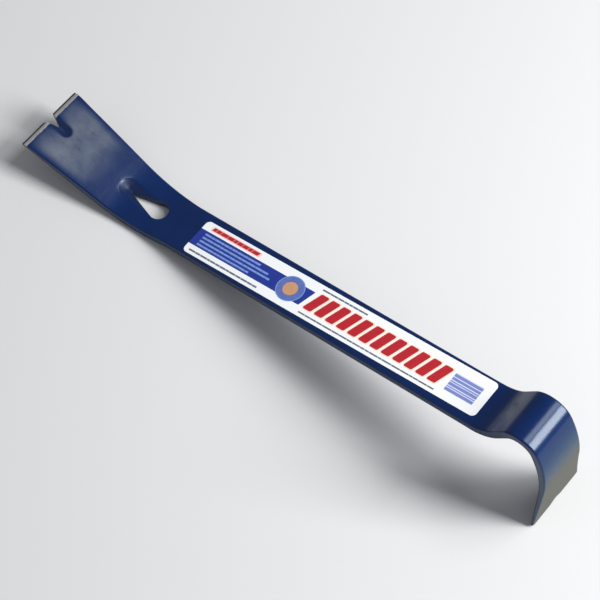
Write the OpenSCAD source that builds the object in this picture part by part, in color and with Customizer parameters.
// Flat pry bar: one bent strip of spring steel with a nail claw at one end and a curled
// prying hook at the other, and a printed label stuck to the face of its shank.
// Lengths are in millimetres and angles in degrees.
//
// The strip is first laid out with its shank along X and its label face up, starting where
// the claw bend meets the shank. At the end it is tipped until it stands as it does on a
// bench, on the edge of the hook and the heel of the claw bend.

/* [Strip] */
// Overall length, measured along the shank
overall_len = 381; // [310:1:470]
// Thickness of the steel strip
stock_t = 5.6; // [4.4:0.1:7]
// Width of the shank
shank_w = 32.5; // [26:0.5:40]

/* [Claw] */
// Width across the two claw tips
claw_w = 48; // [38:0.5:58]
// Angle that the claw is bent up from the shank
claw_angle = 28; // [18:1:36]
// Radius of the claw bend, at half thickness
claw_bend_r = 79; // [60:1:100]
// Straight length of the claw beyond its bend
claw_len = 62; // [50:1:76]
// Length at the end of the claw over which it thins
claw_thin_len = 35; // [24:1:44]
// Thickness of the claw where its ground edge starts
claw_thin_t = 3.8; // [3:0.1:4.2]
// Length of the ground edge, with its nose
claw_edge_len = 3.2; // [2.2:0.1:5]
// Length of the steeper nose at the very tips
claw_nose_len = 1.3; // [0.5:0.1:2]
// Thickness where the nose starts
claw_nose_t = 2.5; // [2:0.1:2.9]
// Thickness that the nose leaves at the tips
claw_tip_t = 0.8; // [0.5:0.1:1.5]
// Distance from the claw bend, along the shank, at which the sides start to flare
claw_flare_start = 9; // [0:1:20]

/* [Hook] */
// Radius of the bend that lifts the strip off the shank
rise_r = 27; // [16:0.5:40]
// Angle of that bend
rise_angle = 43; // [30:0.5:50]
// Straight length between the rise and the curl
rise_len = 10; // [4:0.2:20]
// Radius of the tight curl over the top
curl_r = 12; // [9:0.5:16]
// Angle that the curl turns through
curl_angle = 115; // [100:0.5:126]
// Radius of the slow bend in the hook blade
blade_r = 76; // [50:1:100]
// Angle of the slow bend
blade_angle = 27; // [15:0.5:34]
// Straight length of the hook blade below that bend
blade_len = 35; // [26:1:44]
// Length over which the blade thins to its edge
hook_thin_len = 65; // [40:1:70]
// Thickness of the hook's rounded edge
hook_edge_t = 1.8; // [1:0.1:2.6]
// Width across the hook's edge
hook_w = 44.5; // [36:0.5:56]
// Height above the hook's edge at which its sides start to flare
hook_flare_h = 70; // [36:1:72]
// Width of the shallow notch in the hook's edge
hook_notch_w = 10; // [6:0.5:14]
// Depth of that notch
hook_notch_depth = 2.6; // [1:0.1:5]

/* [Nail slots] */
// Width of the claw's V notch at the tips
claw_notch_w = 8.2; // [6:0.1:10]
// Depth of the V notch
claw_notch_depth = 9.8; // [7:0.1:14]
// Diameter of the teardrop slot's round end
slot_d = 12.7; // [9:0.1:15.5]
// Distance from the shank end of the claw bend to the centre of the round end
slot_from_bend = 9.9; // [8:0.1:14]
// Distance from that centre to the slot's point
slot_point_len = 22.4; // [16:0.1:27]
// Width of the countersink round both slots, on the face
sink_w = 12.7; // [9:0.1:15.5]
// How far the countersink's round end is centred beyond the teardrop's point
sink_beyond_slot = 2.3; // [0:0.1:4]
// How far the countersink's round end is centred beyond the V notch's point
sink_beyond_notch = 4; // [1:0.1:8]

/* [Label] */
// Thickness of the label
label_t = 0.2; // [0.1:0.05:0.4]
// Bare steel between the label and the claw bend
label_claw_gap = 21.5; // [5:0.5:40]
// Bare steel between the label and the hook's rise
label_hook_gap = 0.1; // [0.1:0.1:20]
// Bare steel on each side of the label's width
label_side_gap = 3.5; // [3:0.1:8]
// Radius of the label's corners
label_corner_r = 3; // [1:0.5:6]
// Angle by which the label was stuck on askew
label_skew = 0.85; // [0:0.05:1]

/* [Hidden] */
$fn = 96;

// Anything that has to reach past the whole strip is this long.
reach = 2 * overall_len;

// A place on the strip's side view is [x, z, heading]. These move along the strip, and a
// turn is positive when it climbs.
function ahead(p, d) = [p[0] + d * cos(p[2]), p[1] + d * sin(p[2]), p[2]];
function turn_centre(p, r, a) = [p[0] - sign(a) * r * sin(p[2]), p[1] + sign(a) * r * cos(p[2])];
function turn(p, r, a) =
    let (c = turn_centre(p, r, a), h = p[2] + a)
    [c[0] + sign(a) * r * sin(h), c[1] - sign(a) * r * cos(h), h];

// Outline points. Arcs are drawn in straight steps, which stay within 0.03 of them.
step_angle = 3;
flare_steps = 10;
function arc_len(r, a) = r * abs(a) * PI / 180;
function beside(p, off) = [p[0] - off * sin(p[2]), p[1] + off * cos(p[2])];
function bend_places(p, r, a) =
    let (steps = ceil(abs(a) / step_angle))
    [for (i = [0 : steps]) turn(p, r, a * i / steps)];
function backwards(points) = [for (i = [len(points) - 1 : -1 : 0]) points[i]];

// Claw, laid out toward +X from the shank end of its bend.
claw_root = [0, 0, 0];
claw_straight = turn(claw_root, claw_bend_r, claw_angle);
claw_thins = ahead(claw_straight, claw_len - claw_thin_len);
claw_edge = ahead(claw_straight, claw_len - claw_edge_len);
claw_nose = ahead(claw_straight, claw_len - claw_nose_len);
claw_end = ahead(claw_straight, claw_len);
claw_low_corner = beside(claw_end, -claw_thin_t / 2);
claw_face = concat(
    [for (p = bend_places(claw_root, claw_bend_r, claw_angle)) beside(p, stock_t / 2)],
    [
        beside(claw_thins, stock_t / 2),
        beside(claw_edge, claw_thin_t / 2),
        beside(claw_nose, claw_nose_t - claw_thin_t / 2),
        beside(claw_end, claw_tip_t - claw_thin_t / 2)
    ]
);
claw_back = concat(
    [for (p = bend_places(claw_root, claw_bend_r, claw_angle)) beside(p, -stock_t / 2)],
    [beside(claw_thins, -stock_t / 2), claw_low_corner]
);

// Hook, laid out from the end of the shank.
hook_root = [0, 0, 0];
rise_end = turn(hook_root, rise_r, rise_angle);
curl_start = ahead(rise_end, rise_len);
curl_end = turn(curl_start, curl_r, -curl_angle);
blade_start = turn(curl_end, blade_r, -blade_angle);
hook_tip = ahead(blade_start, blade_len);

// Outline of a hook's bend on one side, 1 for its face or -1 for its back, where a length
// of strip lies beyond the bend. The strip thins evenly toward the edge.
function hook_half_t(left) =
    stock_t / 2 - (stock_t - hook_edge_t) / 2 * max(0, 1 - left / hook_thin_len);
function hook_bend(p, r, a, side, beyond) = [
    for (q = bend_places(p, r, a))
        beside(q, side * hook_half_t(beyond + arc_len(r, a - (q[2] - p[2]))))
];
function hook_side(side) = concat(
    hook_bend(hook_root, rise_r, rise_angle, side, reach),
    hook_bend(curl_start, curl_r, -curl_angle, side, arc_len(blade_r, blade_angle) + blade_len),
    hook_bend(curl_end, blade_r, -blade_angle, side, blade_len)
);
hook_face = hook_side(1);
hook_back = hook_side(-1);
shank_len = overall_len - claw_low_corner[0] - max([for (p = hook_face) p[0]]);

// The bench touches the underside of the claw bend and the rounded edge of the hook, so
// the angle between the shank and the bench is that of their common tangent.
bend_to_tip = [shank_len + hook_tip[0], claw_bend_r - hook_tip[1]];
rest_angle =
    acos((claw_bend_r + stock_t / 2 - hook_edge_t / 2) / norm(bend_to_tip))
    - atan2(bend_to_tip[0], bend_to_tip[1]);
rest_low = claw_bend_r * cos(rest_angle) - (claw_bend_r + stock_t / 2);
rest_left = -claw_low_corner[0] * cos(rest_angle) - claw_low_corner[1] * sin(rest_angle);
rest_right = max([
    for (p = hook_face) (shank_len + p[0]) * cos(rest_angle) - p[1] * sin(rest_angle)
]);

// Label
label_len = shank_len - label_claw_gap - label_hook_gap;
label_w = shank_w - 2 * label_side_gap;

// Countersinks are V shaped in section, and their ridge lies at half thickness.
sink_slope = sink_w / stock_t;

// Side view of the whole strip, from the claw's tips over its face to the hook's edge, and
// back along its underside.
function turned_round(points) = [for (p = points) [-p[0], p[1]]];
function on_shank_end(points) = [for (p = points) p + [shank_len, 0]];
module side_view() {
    edge = [
        for (a = [90 : -30 : -90])
            beside([hook_tip[0], hook_tip[1], hook_tip[2] + a - 90], hook_edge_t / 2)
    ];
    polygon(concat(
        turned_round(backwards(claw_face)),
        on_shank_end(concat(hook_face, edge, backwards(hook_back))),
        turned_round(claw_back)
    ));
}

// Outline of the claw and the shank, seen from above.
module top_view() {
    shank_end = shank_len + curl_start[0];
    tip = -claw_low_corner[0];
    polygon([
        [tip - 1, -claw_w / 2],
        [tip, -claw_w / 2],
        [claw_flare_start, -shank_w / 2],
        [shank_end, -shank_w / 2],
        [shank_end, shank_w / 2],
        [claw_flare_start, shank_w / 2],
        [tip, claw_w / 2],
        [tip - 1, claw_w / 2]
    ]);
}

// Outline of the hook, seen from its end, with heights along Y. Its sides flare on two arcs,
// drawn in straight steps, and are straight above them.
function flare_half_w(h) =
    let (
        flare = (hook_w - shank_w) / 2,
        r = (hook_flare_h * hook_flare_h + flare * flare) / (2 * flare),
        down = max(0, hook_flare_h - h)
    )
    shank_w / 2 + r - sqrt(r * r - down * down);
module end_view() {
    low = hook_tip[1];
    side = [
        for (i = [0 : flare_steps])
            let (h = hook_flare_h * i / flare_steps) [flare_half_w(h), low + h]
    ];
    half = concat([[hook_w / 2, low - hook_edge_t]], side, [[shank_w / 2, reach]]);
    polygon(concat(half, [for (p = backwards(half)) [-p[0], p[1]]]));
}

module outline() {
    linear_extrude(height = reach, center = true) top_view();
    translate([shank_len + curl_start[0] - 1, 0, 0])
        rotate([90, 0, 90])
            linear_extrude(height = reach) end_view();
}

// Places a cut on the claw bend at a distance along the strip from the shank, with +X toward
// the claw and +Z out of the face.
module on_claw_bend(s) {
    translate([0, 0, claw_bend_r])
        rotate([0, s / claw_bend_r * 180 / PI, 0])
            translate([0, 0, -claw_bend_r])
                mirror([1, 0, 0]) children();
}

// Places a cut on the straight claw, with +X toward the tips and +Z out of the face.
module on_claw() {
    translate([-claw_straight[0], 0, claw_straight[1]])
        rotate([0, claw_angle, 0])
            mirror([1, 0, 0]) children();
}

// Round end of a countersink, centred on Z with its point at half thickness.
module sink_end() {
    cylinder(h = stock_t, r1 = 0, r2 = sink_slope * stock_t);
}

// Teardrop hole right through the strip, with its round end at the origin.
module teardrop() {
    r = slot_d / 2;
    touch = acos(r / slot_point_len);
    linear_extrude(height = 3 * stock_t, center = true)
        polygon([
            [0, 0],
            r * [cos(touch), -sin(touch)],
            [slot_point_len, 0],
            r * [cos(touch), sin(touch)]
        ]);
    cylinder(h = 3 * stock_t, r = r, center = true);
}

// Straight part of a countersink, with its ridge on X.
module sink_groove(len) {
    rotate([90, 0, 90])
        linear_extrude(height = len)
            polygon([[0, 0], stock_t * [sink_slope, 1], stock_t * [-sink_slope, 1]]);
}

// Nail slot in the claw bend. The groove is a chord of the bend, raised by half its sag.
module nail_slot() {
    sink_end_at = slot_from_bend + slot_point_len + sink_beyond_slot;
    groove_len = sink_end_at - slot_from_bend;
    sag = groove_len * groove_len / (8 * claw_bend_r);
    on_claw_bend(slot_from_bend) teardrop();
    on_claw_bend(sink_end_at) sink_end();
    on_claw_bend(slot_from_bend + groove_len / 2)
        translate([-groove_len / 2, 0, sag / 2]) sink_groove(groove_len);
}

// V notch between the claw's tips, with its countersink.
module claw_notch() {
    point_at = claw_len - claw_notch_depth;
    half_w_per_len = claw_notch_w / 2 / claw_notch_depth;
    past = claw_notch_depth + stock_t;
    on_claw() {
        translate([point_at, 0, 0])
            linear_extrude(height = 3 * stock_t, center = true)
                polygon([[0, 0], past * [1, half_w_per_len], past * [1, -half_w_per_len]]);
        translate([point_at - sink_beyond_notch, 0, 0]) {
            sink_end();
            sink_groove(past + sink_beyond_notch);
        }
    }
}

// Shallow V notch in the edge of the hook.
module hook_notch() {
    depth = hook_notch_depth + hook_edge_t / 2;
    half_w = hook_notch_w / 2;
    translate([shank_len + hook_tip[0], 0, hook_tip[1]])
        rotate([0, -hook_tip[2], 0])
            translate([hook_edge_t / 2, 0, 0])
                linear_extrude(height = 3 * stock_t, center = true)
                    polygon([[-depth, 0], [1, -half_w], [1, half_w]]);
}

// Tips the laid out strip until it stands on a bench at Z = 0, centred on the origin.
module at_rest() {
    translate([-(rest_left + rest_right) / 2, 0, -rest_low])
        rotate([0, -rest_angle, 0]) children();
}

module bar() {
    color([0.10, 0.15, 0.30])
        at_rest()
            difference() {
                intersection() {
                    rotate([90, 0, 0]) linear_extrude(height = reach, center = true) side_view();
                    outline();
                }
                nail_slot();
                claw_notch();
                hook_notch();
            }
}

module label() {
    long = label_len - 2 * label_corner_r;
    wide = label_w - 2 * label_corner_r;
    color([0.93, 0.94, 0.95])
        at_rest()
            translate([label_claw_gap + label_len / 2, 0, stock_t / 2])
                rotate(label_skew)
                    linear_extrude(height = label_t) {
                        square([long, label_w], center = true);
                        square([label_len, wide], center = true);
                        for (x = [-long / 2, long / 2], y = [-wide / 2, wide / 2])
                            translate([x, y]) circle(label_corner_r);
                    }
}

bar();
label();
